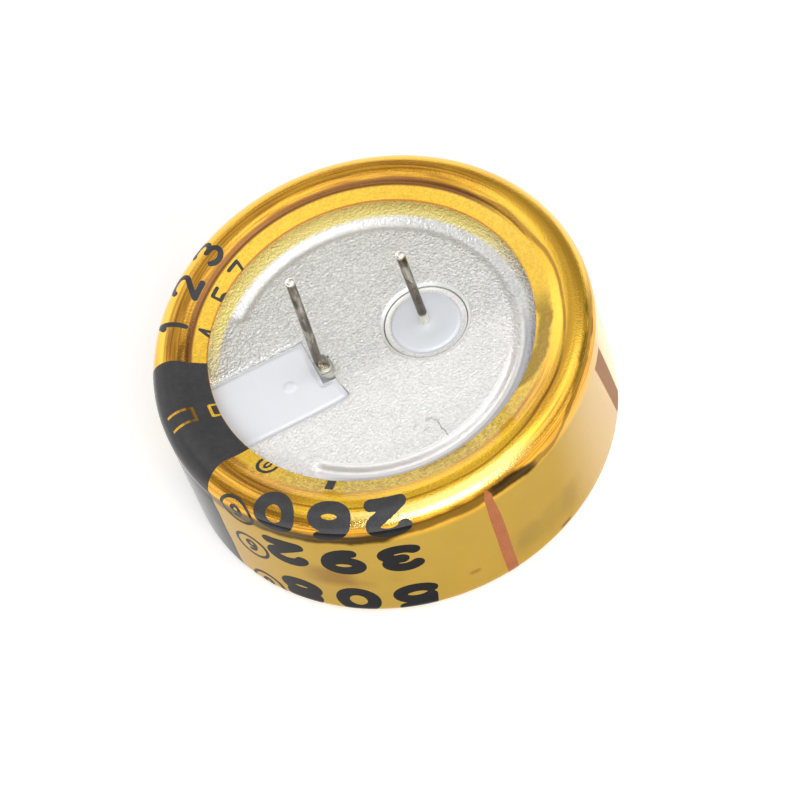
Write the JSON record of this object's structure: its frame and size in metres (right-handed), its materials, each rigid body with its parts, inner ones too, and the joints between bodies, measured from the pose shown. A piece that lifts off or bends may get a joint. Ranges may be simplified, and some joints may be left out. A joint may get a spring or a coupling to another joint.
{
  "type": "coin supercapacitor",
  "caption": "Sleeved metal coin supercapacitor with a curled rim, a frosted terminal plate and two upright round leads of unequal length.",
  "frame": {"origin": "on the can's axis at the closed back, where the sleeve's folded-in rim rests", "axes": "+Z from the closed back towards the leads; +X from the negative lead towards the positive lead; +Y completes the frame"},
  "size_m": [0.02, 0.02, 0.0133],
  "materials": {
    "amber_film": "glossy translucent heat-shrink film",
    "can_steel": "drawn, bright",
    "plate_steel": "frosted",
    "white_plastic": "glossy, slightly milky",
    "lead_metal": "tinned",
    "cell_steel": "drawn",
    "gasket_plastic": "moulded",
    "carbon": "pressed powder",
    "separator_paper": "thin fibre sheet"
  },
  "bodies": {
    "root": {"sleeve": "amber_film", "can": "can_steel", "base_plate": "plate_steel", "insulator": "white_plastic", "positive_lead": "lead_metal", "positive_plate": "cell_steel", "lower_cell_cup": "cell_steel", "lower_cell_cap": "cell_steel", "lower_cell_gasket": "gasket_plastic", "lower_negative_collector": "carbon", "lower_negative_electrode": "carbon", "lower_separator": "separator_paper", "lower_positive_electrode": "carbon", "lower_positive_collector": "carbon", "upper_cell_cup": "cell_steel", "upper_cell_cap": "cell_steel", "upper_cell_gasket": "gasket_plastic", "upper_negative_collector": "carbon", "upper_negative_electrode": "carbon", "upper_separator": "separator_paper", "upper_positive_electrode": "carbon", "upper_positive_collector": "carbon"}
  },
  "joints": []
}
